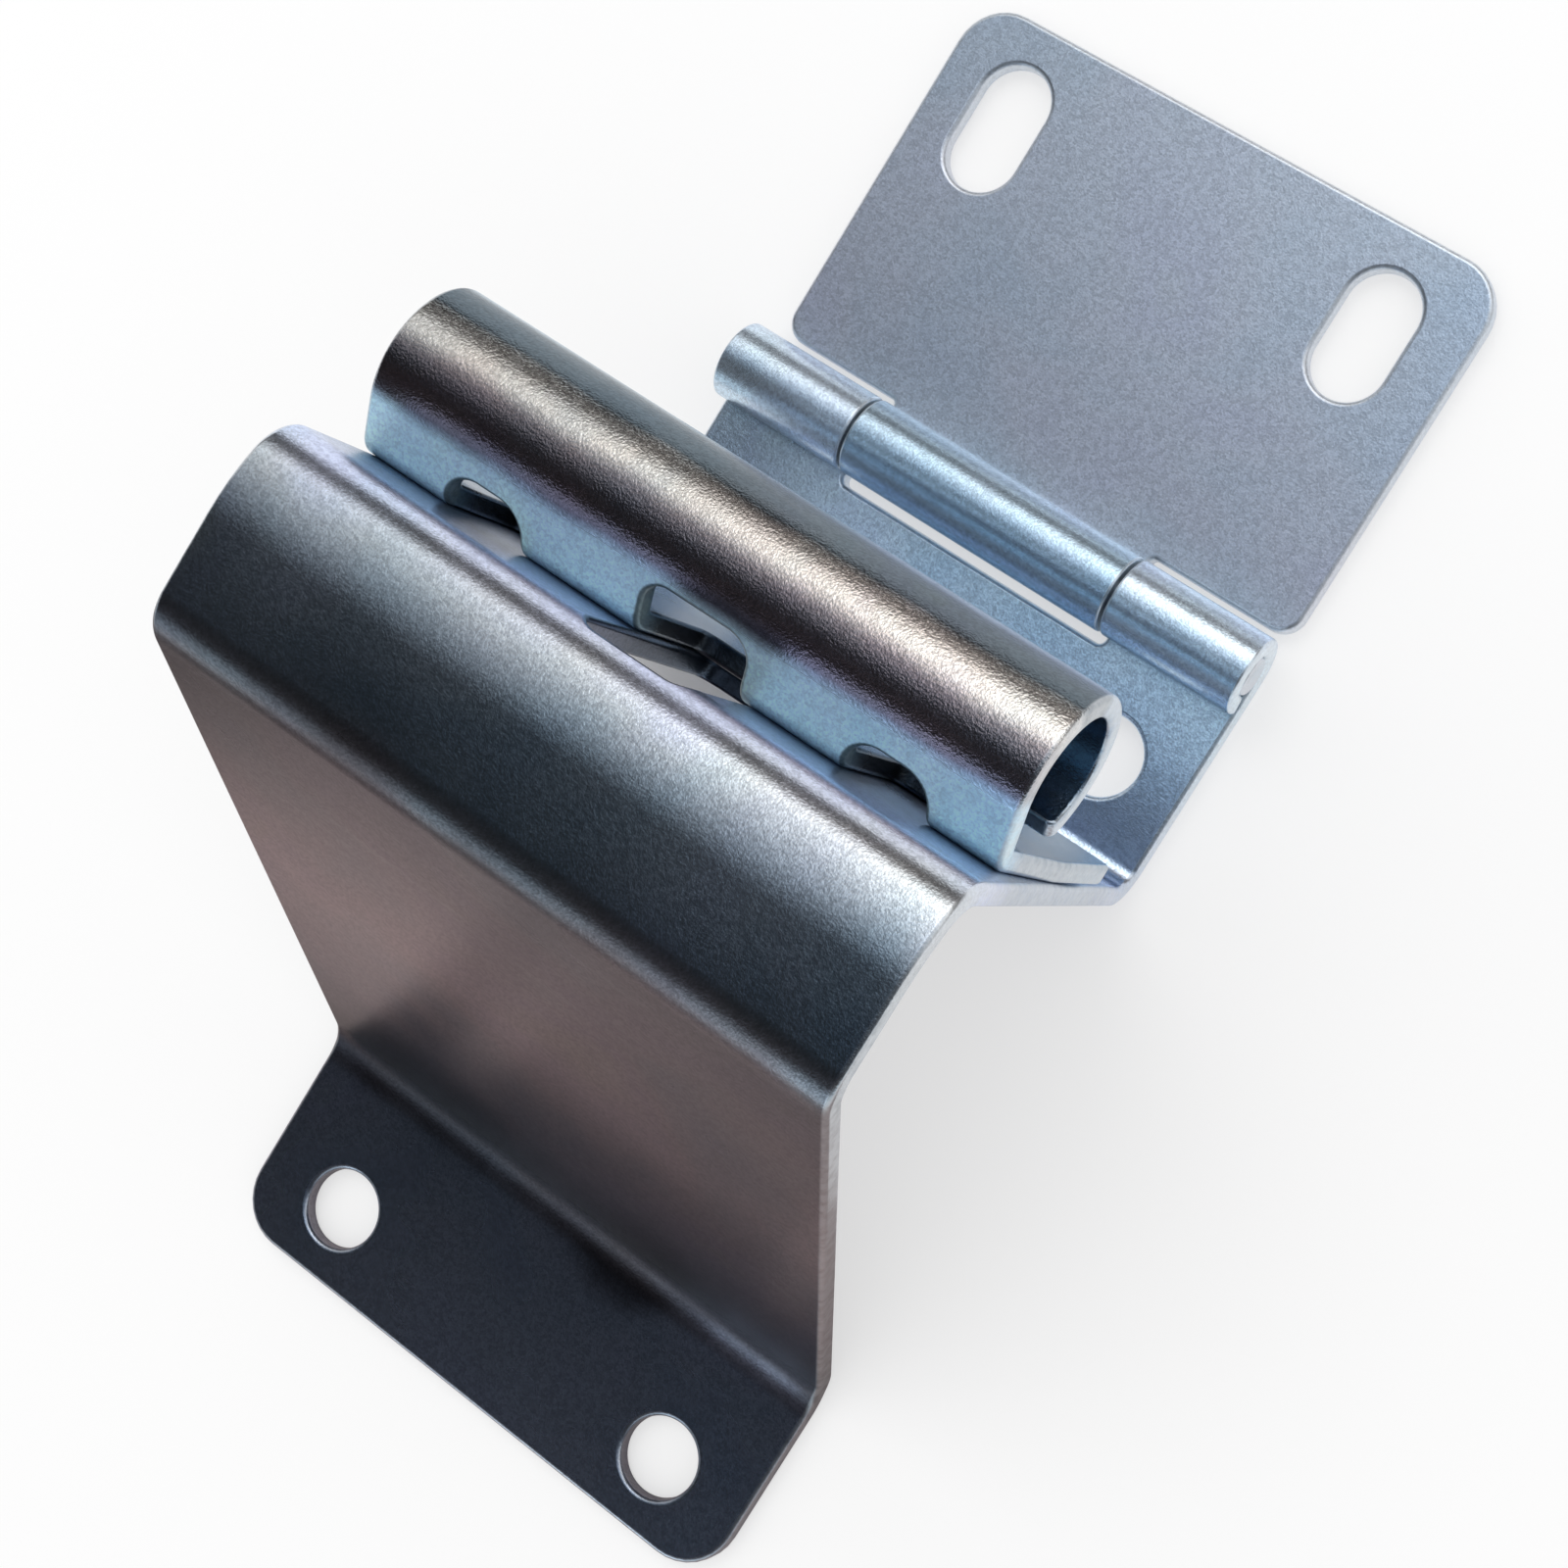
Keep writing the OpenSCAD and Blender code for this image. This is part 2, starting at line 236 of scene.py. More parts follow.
# Mesh object in metres; each face is turned so that it agrees with the worked-out normals.
def meshPiece(name, points, faces, normals, rim=None, sheetPos=None):
    faces = [f for f in faces if len(set(f)) == len(f)]
    corner = np.array([f[:3] for f in faces])
    a, b, c = (points[corner[:, k]] for k in range(3))
    face = np.cross(b - a, c - a)
    wrong = (face * normals[corner].sum(1)).sum(1) < 0
    faces = [f[::-1] if w else f for f, w in zip(faces, wrong.tolist())]
    mesh = bpy.data.meshes.new(name)
    mesh.from_pydata((points * mm).tolist(), [], faces)
    mesh.shade_smooth()
    if rim is not None:
        mesh.attributes.new("rim", "FLOAT", "POINT").data.foreach_set("value", rim)
    if sheetPos is not None:
        mesh.attributes.new("sheetPos", "FLOAT_VECTOR", "POINT").data.foreach_set("vector", sheetPos.ravel())
    mesh.validate()
    normals = normals / np.linalg.norm(normals, axis=1, keepdims=True)
    mesh.normals_split_custom_set_from_vertices(normals.tolist())
    obj = bpy.data.objects.new(name, mesh)
    bpy.context.scene.collection.objects.link(obj)
    return obj


# Sizes shared by the pieces, in millimetres, as in the CAD source
hinge = dict(sheet=2.0, stepY=-9.4, axisY=13.5, axisZ=4.0, pinRadius=2.0, pinGap=0.05, holeX=21.0, sweep=294)

mainLeaf = dict(
    plateauHigh=66.0, plateauLong=19.5, plateauWide=70.0, webLong=37.0, footLong=22.1, footWide=62.4,
    footCorner=5.5, footHoleIn=7.6, left=-31.0, right=30.0, crestBend=3.0, footBend=5.0, baseBend=2.0,
    holeRadius=4.0, slotWide=11.0, slotDrop=4.0, slotLow=34.0, slotShift=1.5, slotCorner=2.0,
    windowLeft=-15.7, windowRight=15.4, windowY=8.55, windowCorner=0.7, endCorner=0.75,
    crownLong=6.0, crownTurn=20.0, topEdge=0.55, backEdge=0.3, foldStep=5.0)


# Main leaf: foot, web, plateau, step, base and the two outer knuckles as one bent strip.
def makeMainLeaf(m):
    t = hinge["sheet"]
    rise = m["plateauHigh"] - t
    web = np.degrees(np.arctan2(rise, m["webLong"]))
    footTangent = m["footBend"] * np.tan(radians(web / 2))
    topTangent = (m["crestBend"] + t) * np.tan(radians(web / 2))
    crest = m["crestBend"] + t
    webFlat = np.hypot(rise, m["webLong"]) - footTangent - topTangent
    footEnd = hinge["stepY"] - m["plateauLong"] - m["webLong"] - m["footLong"]
    # The plateau falls off softly before the crest: a slow arc, then the tight one takes up the rest of the turn
    middle = dict(crest=m["crestBend"] + t / 2, base=m["baseBend"] + t / 2)
    crown = radians(m["crownTurn"])
    slow = m["crownLong"] / crown
    crownRun, crownDrop = slow * np.sin(crown), slow * (1 - np.cos(crown))
    crestRun, crestDrop = middle["crest"] * (1 - np.sin(crown)) + t / 2, middle["crest"] * np.cos(crown)
    path = layPath((footEnd, t / 2), 0, [
        (m["footLong"] - footTangent, 0),
        arcMove(m["footBend"], t, web),
        (webFlat, 0),
        arcMove(m["crestBend"], t, -web),
        (m["plateauLong"] - topTangent - crownRun - crestRun, 0),
        (m["crownLong"], -m["crownTurn"]),
        arcMove(m["crestBend"], t, m["crownTurn"] - 90),
        (rise - crownDrop - crestDrop - middle["base"], 0),
        arcMove(m["baseBend"], t, 90),
        (hinge["axisY"] - hinge["stepY"] - m["baseBend"], 0),
        arcMove(hinge["pinRadius"], t, hinge["sweep"])])
    s, end = path["s"], path["end"]
    mid = lambda k: s[k] + 0.5 * (s[k + 1] - s[k])
    foot, plate = m["footWide"] / 2, m["plateauWide"] / 2
    low = s[8]
    windowS = s[9] + m["windowY"] - hinge["stepY"] - m["baseBend"]
    e, c = m["endCorner"], m["windowCorner"]
    outline = roundedLoop(
        [(0, foot), (0, -foot), (mid(1), -foot), (mid(3), -plate), (s[7], -plate), (low, m["left"]),
         (end, m["left"]), (end, m["windowLeft"]), (windowS, m["windowLeft"]), (windowS, m["windowRight"]),
         (end, m["windowRight"]), (end, m["right"]), (low, m["right"]), (s[7], plate), (mid(3), plate),
         (mid(1), foot)],
        [m["footCorner"], m["footCorner"], 3, 3, 2, 2, e, e, c, c, e, e, 2, 2, 3, 3])
    fine = np.linspace(s[5], s[8], 2000)  # heights of the outer face over the crest and down the step
    spot, lean = onPath(path, fine)
    high = spot[:, 1] + np.cos(lean) * t / 2
    slotTop = np.interp(m["slotDrop"] - m["plateauHigh"], -high, fine)
    slotBottom = np.interp(-m["slotLow"], -high, fine)
    x = m["slotShift"]
    holeS = [(m["footHoleIn"], 1), (s[9] - hinge["stepY"] - m["baseBend"], 1)]
    loops = [outline] + [circleLoop(h, side * hinge["holeX"], m["holeRadius"]) for h, _ in holeS for side in (-1, 1)]
    loops.append(boxLoop(slotTop, slotBottom, x - m["slotWide"] / 2, x + m["slotWide"] / 2, m["slotCorner"]))
    # The slot's cut walls get painted shade (-1); the outline and the holes show bare metal.
    obj = sheetPiece("mainLeafSheet", path, t, loops, m["foldStep"], m["topEdge"], m["backEdge"],
                     rimsAndShade=[1.0, 0.5, 0.5, 0.5, 0.5, -1.0])
    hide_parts("main_leaf")
    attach(obj, "lower")
    return obj, path


upperLeaf = dict(
    wide=60.0, shift=0.5, freeEdge=42.5, plateStart=4.5, midLeft=-15.4, midRight=15.1, corner=5.0, innerCorner=2.4,
    slotWide=7.5, slotLong=13.0, slotFromAxis=31.9, endCorner=0.75, topEdge=0.55, backEdge=0.3, foldStep=5.0)


# Upper leaf: free edge to hinge axis, then round the pin; laid the other way, so its top is the right side.
def makeUpperLeaf(m):
    t = hinge["sheet"] - hinge["pinGap"]
    bore = hinge["pinRadius"] + hinge["pinGap"]
    path = layPath((hinge["axisY"] + m["freeEdge"], t / 2), 180, [(m["freeEdge"], 0), arcMove(bore, t, -hinge["sweep"])])
    left, right = m["shift"] - m["wide"] / 2, m["shift"] + m["wide"] / 2
    plate = m["freeEdge"] - m["plateStart"]
    end = path["end"]
    c, i, e = m["corner"], m["innerCorner"], m["endCorner"]
    outline = roundedLoop(
        [(0, left), (plate, left), (plate, m["midLeft"]), (end, m["midLeft"]), (end, m["midRight"]),
         (plate, m["midRight"]), (plate, right), (0, right)], [c, i, 0.4, e, e, 0.4, i, c])
    at = m["freeEdge"] - m["slotFromAxis"]
    long, wide = m["slotLong"] / 2, m["slotWide"] / 2
    loops = [outline] + [boxLoop(at - long, at + long, side * hinge["holeX"] - wide, side * hinge["holeX"] + wide,
                                 wide - 0.001, 24) for side in (-1, 1)]
    obj = sheetPiece("upperLeafSheet", path, t, loops, m["foldStep"], m["topEdge"], m["backEdge"], side=-1)
    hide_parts("upper_leaf")
    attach(obj, "upper")
    return obj, path


carrier = dict(
    wide=67.0, shift=-1.1, curlRadius=5.5, curlY=-0.6, curlZ=48.2, sweep=262, neckBend=54, neckRadius=1.0,
    tip=21.0, flatFrom=35.0, lift=0.7, sideCut=8.0, sideCorner=2.9, sideReach=2.05, midCut=10.6, midCorner=2.2,
    midReach=-0.05, midShift=1.0, cutLow=37.0, cutLowCorner=1.5, corner=0.9, topEdge=0.5, backEdge=0.35, foldStep=4.0)


# Roller carrier: flange up the step, tight bend, short neck and the curl for the roller stem.
def makeCarrier(m):
    t = hinge["sheet"]
    beta = radians(m["neckBend"])
    r, n = m["curlRadius"], m["neckRadius"]
    fromStep = m["curlY"] - hinge["stepY"]
    neck = (fromStep - t - n - (r - n) * np.cos(beta)) / np.sin(beta)
    neckZ = m["curlZ"] - neck * np.cos(beta) + (r - n) * np.sin(beta)
    lean = np.degrees(np.arctan2(m["lift"], m["flatFrom"] - m["tip"]))
    easy = 12.0  # radius of the slight bend where the flange starts to stand off
    low = np.hypot(m["lift"], m["flatFrom"] - m["tip"])
    arc = (easy + t / 2) * radians(lean)
    path = layPath((hinge["stepY"] + m["lift"] + t / 2, m["tip"]), 90 + lean, [
        (low - arc / 2, 0), (arc, -lean), (neckZ - m["flatFrom"] - arc / 2, 0),
        arcMove(n, t, -m["neckBend"]), (neck, 0), arcMove(r, t, -m["sweep"])])
    s, end = path["s"], path["end"]
    left, right = m["shift"] - m["wide"] / 2, m["shift"] + m["wide"] / 2
    loops = [roundedLoop([(0, left), (0, right), (end, right), (end, left)], m["corner"])]
    cutLow = s[2] + m["cutLow"] - m["flatFrom"]
    for x, wide, top, c in ((-hinge["holeX"], m["sideCut"], s[4] + m["sideReach"], m["sideCorner"]),
                            (hinge["holeX"], m["sideCut"], s[4] + m["sideReach"], m["sideCorner"]),
                            (m["midShift"], m["midCut"], s[5] + m["midReach"], m["midCorner"])):
        a, b = x - wide / 2, x + wide / 2
        loops.append(roundedLoop([(cutLow, a), (top, a), (top, b), (cutLow, b)],
                                 [m["cutLowCorner"], c, c, m["cutLowCorner"]], 12))
    # The carrier's three cut-outs get painted shade (-1) on their walls.
    obj = sheetPiece("rollerCarrierSheet", path, t, loops, m["foldStep"], m["topEdge"], m["backEdge"],
                     rimsAndShade=[1.0, -1.0, -1.0, -1.0])
    # Painted shade: the curl's tip inside the tube is darkened too, away from the two ends.
    sheet = obj.data.attributes["sheetPos"].data  # the curl's hidden tip is dull too, away from the two ends
    where, rim = np.empty(3 * len(sheet)), np.empty(len(sheet))
    sheet.foreach_get("vector", where)
    obj.data.attributes["rim"].data.foreach_get("value", rim)
    where = where.reshape(-1, 3) / mm
    tip = (where[:, 0] > end - 1) & (np.abs(where[:, 1] - m["shift"]) < m["wide"] / 2 - 5)
    obj.data.attributes["rim"].data.foreach_set("value", np.where(tip & (rim > 0), -1.0, rim))
    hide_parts("roller_carrier")
    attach(obj, "lower")
    return obj, path


pin = dict(left=-31.0, right=30.0, radius=2.0, edge=0.35, dish=0.25, around=64)


# Hinge pin: a profile turned about the pin axis, with rolled end edges and shallow staking dishes.
def makePin(m):
    r, e, d = m["radius"], m["edge"], m["dish"]
    a = np.linspace(0, np.pi / 2, 6)
    end = np.stack([e - e * np.sin(a), r - e + e * np.cos(a)], 1)[::-1]  # depth from the end, radius
    face = np.stack([np.linspace(d, 0.0, 6), np.linspace(0.0, r - e, 6)], 1)[:-1]
    half = np.concatenate([face, end])
    profile = np.concatenate([np.stack([m["left"] + half[:, 0], half[:, 1]], 1),
                              np.stack([m["right"] - half[::-1, 0], half[::-1, 1]], 1)])
    slope = np.gradient(profile, axis=0)
    across = np.stack([-slope[:, 1], slope[:, 0]], 1)
    turn = np.arange(m["around"]) / m["around"] * 2 * np.pi
    rows, cols = len(profile), m["around"]
    ring = np.stack([np.cos(turn), np.sin(turn)], 1)
    points = np.concatenate([np.broadcast_to(profile[:, None, 0:1], (rows, cols, 1)), profile[:, None, 1:2] * ring[None]], 2)
    normals = np.concatenate([np.broadcast_to(across[:, None, 0:1], (rows, cols, 1)), across[:, None, 1:2] * ring[None]], 2)
    points = points.reshape(-1, 3) + np.array([0, hinge["axisY"], hinge["axisZ"]])
    i, j = np.meshgrid(np.arange(1, rows - 2), np.arange(cols), indexing="ij")
    k = (j + 1) % cols
    faces = np.stack([i * cols + j, i * cols + k, (i + 1) * cols + k, (i + 1) * cols + j], 2).reshape(-1, 4).tolist()
    j = np.arange(cols)
    k = (j + 1) % cols
    faces += np.stack([0 * j, cols + j, cols + k], 1).tolist()
    last = (rows - 1) * cols
    faces += np.stack([0 * j + last, last - cols + k, last - cols + j], 1).tolist()
    used = np.r_[0, cols:last, last]
    remap = np.zeros(rows * cols, int)
    remap[used] = np.arange(len(used))
    normals = normals.reshape(-1, 3)[used]
    obj = meshPiece("hingePin", points[used], [[int(remap[v]) for v in f] for f in faces], normals)
    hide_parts("hinge_pin")
    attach(obj, "lower")
    return obj


mainObj, mainPath = makeMainLeaf(mainLeaf)
upperObj, upperPath = makeUpperLeaf(upperLeaf)
carrierObj, carrierPath = makeCarrier(carrier)
pinObj = makePin(pin)
print("stage: sheet pieces", {o.name: len(o.data.polygons) for o in (mainObj, upperObj, carrierObj, pinObj)})


# Finish
def link(tree, a, b):
    tree.links.new(a, b)


# A node with its sockets and settings given by name; a linked socket is given as the other node's output.
def node(tree, kind, settings=None, **values):
    n = tree.nodes.new(kind)
    for k, v in (settings or {}).items():
        setattr(n, k, v)
    for k, v in values.items():
        socket = n.inputs[int(k[2:])] if k.startswith("in") and k[2:].isdigit() else n.inputs[k.replace("_", " ")]
        if isinstance(v, bpy.types.NodeSocket):
            link(tree, v, socket)
        else:
            socket.default_value = v
    return n


def math(tree, operation, a, b=0.0, clamp=False):
    return node(tree, "ShaderNodeMath", dict(operation=operation, use_clamp=clamp), in0=a, in1=b).outputs[0]


# Mix of two colours, or the product of the second onto the first.
def mixColor(tree, share, a, b, blend="MIX"):
    n = node(tree, "ShaderNodeMix", dict(data_type="RGBA", blend_type=blend))
    for socket, v in ((n.inputs["Factor"], share), (n.inputs[6], a), (n.inputs[7], b)):
        if isinstance(v, bpy.types.NodeSocket):
            link(tree, v, socket)
        else:
            socket.default_value = (*v, 1) if isinstance(v, tuple) else v
    return n.outputs[2]


# Value scaled from one range to another, held at the ends.
def remap(tree, value, a, b, low=0.0, high=1.0, smooth=False):
    n = node(tree, "ShaderNodeMapRange", dict(interpolation_type="SMOOTHSTEP" if smooth else "LINEAR"))
    for k, v in zip(("From Min", "From Max", "To Min", "To Max"), (a, b, low, high)):
        if isinstance(v, bpy.types.NodeSocket):
            link(tree, v, n.inputs[k])
        else:
            n.inputs[k].default_value = v
    link(tree, value, n.inputs["Value"])
    return n.outputs[0]


# Colour ramp from (place, colour) stops.
def ramp(tree, value, stops):
    n = node(tree, "ShaderNodeValToRGB", Fac=value)
    band = n.color_ramp
    while len(band.elements) < len(stops):
        band.elements.new(0.5)
    for e, (place, color) in zip(band.elements, stops):
        e.position = place
    for e, (place, color) in zip(band.elements, stops):
        e.color = (*color, 1)
    return n.outputs["Color"]


# Empty node group with named inputs (name, kind, value) and outputs (name, kind).
def newGroup(name, inputs, outputs):
    group = bpy.data.node_groups.new(name, "ShaderNodeTree")
    kinds = dict(value="NodeSocketFloat", color="NodeSocketColor", vector="NodeSocketVector")
    for label, kind, value in inputs:
        socket = group.interface.new_socket(label, in_out="INPUT", socket_type=kinds[kind])
        if value is not None:
            socket.default_value = value
    for label, kind in outputs:
        group.interface.new_socket(label, in_out="OUTPUT", socket_type=kinds[kind])
    return group, group.nodes.new("NodeGroupInput").outputs, group.nodes.new("NodeGroupOutput").inputs


# Plating grain: fine noise for the height, and a random tone for each small crystal.
def makeGrainGroup():
    group, given, out = newGroup("platingGrain", [("Place", "vector", None), ("Scale", "value", 2000.0),
                                                  ("Sharpness", "value", 0.5)],
                                 [("Height", "value"), ("Speckle", "value")])
    fine = node(group, "ShaderNodeTexNoise", Vector=given["Place"], Scale=given["Scale"], Detail=2.0, Roughness=0.6)
    coarse = node(group, "ShaderNodeTexNoise", Vector=given["Place"],
                  Scale=math(group, "MULTIPLY", given["Scale"], 0.31), Detail=1.0)
    cells = node(group, "ShaderNodeTexVoronoi", Vector=given["Place"],
                 Scale=math(group, "MULTIPLY", given["Scale"], 0.7))
    tone = node(group, "ShaderNodeSeparateColor", Color=cells.outputs["Color"]).outputs[0]
    peak = remap(group, fine.outputs["Fac"], 0.32, 0.68)
    link(group, math(group, "ADD", math(group, "MULTIPLY", peak, given["Sharpness"]),
                     math(group, "MULTIPLY", coarse.outputs["Fac"], 0.6)), out["Height"])
    link(group, math(group, "ADD", math(group, "MULTIPLY", peak, 0.5), math(group, "MULTIPLY", tone, 0.5)),
         out["Speckle"])
    return group


# Passivate film: soft clouds that lean the zinc towards blue, violet or straw.
def makeFilmGroup():
    group, given, out = newGroup("passivateFilm", [("Place", "vector", None), ("Zinc", "color", None),
                                                   ("Scale", "value", 40.0), ("Strength", "value", 0.3)],
                                 [("Color", "color"), ("Cloud", "value")])
    cloud = node(group, "ShaderNodeTexNoise", Vector=given["Place"], Scale=given["Scale"], Detail=3.0,
                 Roughness=0.55, Distortion=0.4).outputs["Fac"]
    spread = remap(group, cloud, 0.3, 0.7)
    film = ramp(group, spread, [(0.0, (0.62, 0.80, 1.0)), (0.35, (0.86, 0.92, 1.0)), (0.55, (1.0, 0.93, 0.98)),
                                (0.75, (0.93, 0.84, 1.0)), (1.0, (1.0, 0.97, 0.86))])
    link(group, mixColor(group, given["Strength"], given["Zinc"],
                         mixColor(group, 1.0, given["Zinc"], film, "MULTIPLY")), out["Color"])
    link(group, spread, out["Cloud"])
    return group


# Handling marks: thin streaks, a stretched noise cut to its peaks, broken by a soft cloud.
def makeRubGroup():
    group, given, out = newGroup("rubMarks", [("Place", "vector", None), ("Stretch", "vector", (60.0, 900.0, 900.0)),
                                              ("Amount", "value", 0.5)], [("Mask", "value")])
    stretched = node(group, "ShaderNodeVectorMath", dict(operation="MULTIPLY"), in0=given["Place"], in1=given["Stretch"])
    streak = node(group, "ShaderNodeTexNoise", Vector=stretched.outputs[0], Scale=1.0, Detail=2.0, Roughness=0.6)
    cloud = node(group, "ShaderNodeTexNoise", Vector=given["Place"], Scale=70.0, Detail=2.0)
    cut = remap(group, streak.outputs["Fac"], 0.56, 0.74)
    patch = remap(group, cloud.outputs["Fac"], 0.45, 0.65)
    link(group, math(group, "MULTIPLY", math(group, "MULTIPLY", cut, patch), given["Amount"]), out["Mask"])
    return group


# Sheared edge: the rim of the sheet, where the cut shows as brighter bare metal, broken up by noise.
def makeEdgeGroup():
    group, given, out = newGroup("shearedEdge", [("Place", "vector", None), ("Rim", "value", 0.0),
                                                 ("Amount", "value", 0.8)], [("Mask", "value")])
    nick = node(group, "ShaderNodeTexNoise", Vector=given["Place"], Scale=900.0, Detail=2.0)
    worn = remap(group, nick.outputs["Fac"], 0.3, 0.6, 0.55, 1.0)
    bright = math(group, "MAXIMUM", given["Rim"], 0.0)
    link(group, math(group, "MULTIPLY", math(group, "MULTIPLY", bright, worn), given["Amount"]), out["Mask"])
    return group


grainGroup, filmGroup, rubGroup, edgeGroup = makeGrainGroup(), makeFilmGroup(), makeRubGroup(), makeEdgeGroup()
bareEdge = (0.74, 0.77, 0.8)


def place(tree, group, **values):
    n = node(tree, "ShaderNodeGroup", dict(node_tree=group), **values)
    return n.outputs


# Plated sheet steel: the tone follows the sheet from end to end (stops are distances along it) and carries painted
# shade and painted highlights, with film, grain, rub marks and bright sheared edges over it; the inner face of the
# bends and marked cut walls are darkened as painted shade.
def platedSteel(name, path, stops, look):
    material = bpy.data.materials.new(name)
    material.use_nodes = True
    tree = material.node_tree
    bsdf = tree.nodes["Principled BSDF"]
    where = node(tree, "ShaderNodeTexCoord").outputs["Object"]
    rim = node(tree, "ShaderNodeAttribute", dict(attribute_name="rim")).outputs["Fac"]
    sheet = node(tree, "ShaderNodeAttribute", dict(attribute_name="sheetPos")).outputs["Vector"]
    along, _, depth = node(tree, "ShaderNodeSeparateXYZ", Vector=sheet).outputs
    wander = node(tree, "ShaderNodeTexNoise", Vector=where, Scale=55.0, Detail=2.0).outputs["Fac"]
    along = math(tree, "ADD", along, remap(tree, wander, 0.3, 0.7, -look["wander"] * mm, look["wander"] * mm))
    share = remap(tree, along, 0.0, path["end"] * mm)
    tone = ramp(tree, share, [(s / path["end"], color) for s, color, _ in stops])
    gloss = ramp(tree, share, [(s / path["end"], (r, r, r)) for s, _, r in stops])
    film = place(tree, filmGroup, Place=where, Zinc=tone, Scale=look["cloud"], Strength=look["film"])
    grain = place(tree, grainGroup, Place=where, Scale=look["grain"], Sharpness=look["sharp"])
    rub = place(tree, rubGroup, Place=where, Stretch=look["stretch"], Amount=look["rub"])["Mask"]
    edge = place(tree, edgeGroup, Place=where, Rim=rim, Amount=look["edge"])["Mask"]
    spot = remap(tree, grain["Speckle"], 0.2, 0.8, 1 - look["speckle"], 1 + look["speckle"])
    # Painted shade: the face turned to the inside of the bends, in the curl and under the plateau, is multiplied by the
    # look's inside colour and so darker.
    inner = remap(tree, depth, -0.2 * mm, -0.8 * mm)  # the face turned to the inside of the bends
    zincAndInsideShade = mixColor(tree, inner, film["Color"], mixColor(tree, 1.0, film["Color"], look["inside"], "MULTIPLY"))
    # Painted shade: cut walls marked below 0 are darkened, down to the look's cut share.
    spot = math(tree, "MULTIPLY", spot, remap(tree, rim, -1.0, 0.0, look["cutShade"], 1.0))
    speckledAndShaded = node(tree, "ShaderNodeVectorMath", dict(operation="SCALE"), Vector=zincAndInsideShade, Scale=spot)
    color = mixColor(tree, edge, mixColor(tree, math(tree, "MULTIPLY", rub, 0.5), speckledAndShaded.outputs[0], bareEdge), bareEdge)
    link(tree, color, bsdf.inputs["Base Color"])
    rough = math(tree, "ADD", node(tree, "ShaderNodeSeparateColor", Color=gloss).outputs[0],
                 remap(tree, film["Cloud"], 0.0, 1.0, -look["patchy"], look["patchy"]))
    rough = math(tree, "ADD", rough, math(tree, "MULTIPLY", rub, -0.08))
    link(tree, math(tree, "ADD", rough, math(tree, "MULTIPLY", edge, 0.08), clamp=True), bsdf.inputs["Roughness"])
    bump = node(tree, "ShaderNodeBump", Strength=look["bump"], Distance=look["bumpHigh"], Height=grain["Height"])
    link(tree, bump.outputs["Normal"], bsdf.inputs["Normal"])
    haze = ramp(tree, share, [(a / path["end"], (v, v, v)) for a, v in look["haze"]])
    cloudy = math(tree, "MULTIPLY", node(tree, "ShaderNodeSeparateColor", Color=haze).outputs[0],
                  remap(tree, film["Cloud"], 0.0, 1.0, 0.75, 1.0))
    link(tree, math(tree, "SUBTRACT", 1.0, cloudy, clamp=True), bsdf.inputs["Metallic"])
    return material


# Drawn pin steel: fine lines along the pin.
def drawnSteel(name, look):
    material = bpy.data.materials.new(name)
    material.use_nodes = True
    tree = material.node_tree
    bsdf = tree.nodes["Principled BSDF"]
    where = node(tree, "ShaderNodeTexCoord").outputs["Object"]
    film = place(tree, filmGroup, Place=where, Zinc=(*look["color"], 1), Scale=120.0, Strength=0.3)
    rub = place(tree, rubGroup, Place=where, Stretch=look["stretch"], Amount=look["rub"])["Mask"]
    grain = place(tree, grainGroup, Place=where, Scale=look["grain"], Sharpness=0.3)
    link(tree, mixColor(tree, rub, film["Color"], bareEdge), bsdf.inputs["Base Color"])
    link(tree, remap(tree, grain["Speckle"], 0.0, 1.0, look["rough"] - 0.05, look["rough"] + 0.08), bsdf.inputs["Roughness"])
    bump = node(tree, "ShaderNodeBump", Strength=0.25, Distance=0.00004, Height=grain["Height"])
    link(tree, bump.outputs["Normal"], bsdf.inputs["Normal"])
    bsdf.inputs["Metallic"].default_value = 1.0
    return material


# Stops along each sheet: (distance in mm, colour, roughness). On the main leaf the colours are partly painted light:
# painted dark reflections in the foot bend, the web and the plateau's flat, and a painted highlight with a painted
# bluish reflection at the crest.
s = mainPath["s"]
mainToneAndShadeStops = [
    (0.0, (0.34, 0.38, 0.45), 0.27), (s[1] - 1, (0.23, 0.25, 0.30), 0.28), (s[1] + 2, (0.06, 0.06, 0.07), 0.30),
    (s[2], (0.06, 0.055, 0.06), 0.30),
    (s[2] + 14, (0.23, 0.195, 0.205), 0.30), (s[2] + 36, (0.36, 0.295, 0.295), 0.30), (s[3], (0.16, 0.15, 0.16), 0.28),
    (s[4], (0.26, 0.29, 0.32), 0.22), (s[5], (0.40, 0.44, 0.46), 0.24), (s[6], (0.60, 0.65, 0.67), 0.24),
    (s[7], (0.64, 0.72, 0.92), 0.28), (s[7] + 9, (0.32, 0.38, 0.48), 0.28), (s[8] - 9, (0.34, 0.42, 0.53), 0.28),
    (s[8], (0.48, 0.57, 0.74), 0.25), (s[9], (0.49, 0.60, 0.74), 0.25), (s[10], (0.71, 0.86, 0.94), 0.27),
    (s[10] + 6, (0.76, 0.89, 0.96), 0.27)]
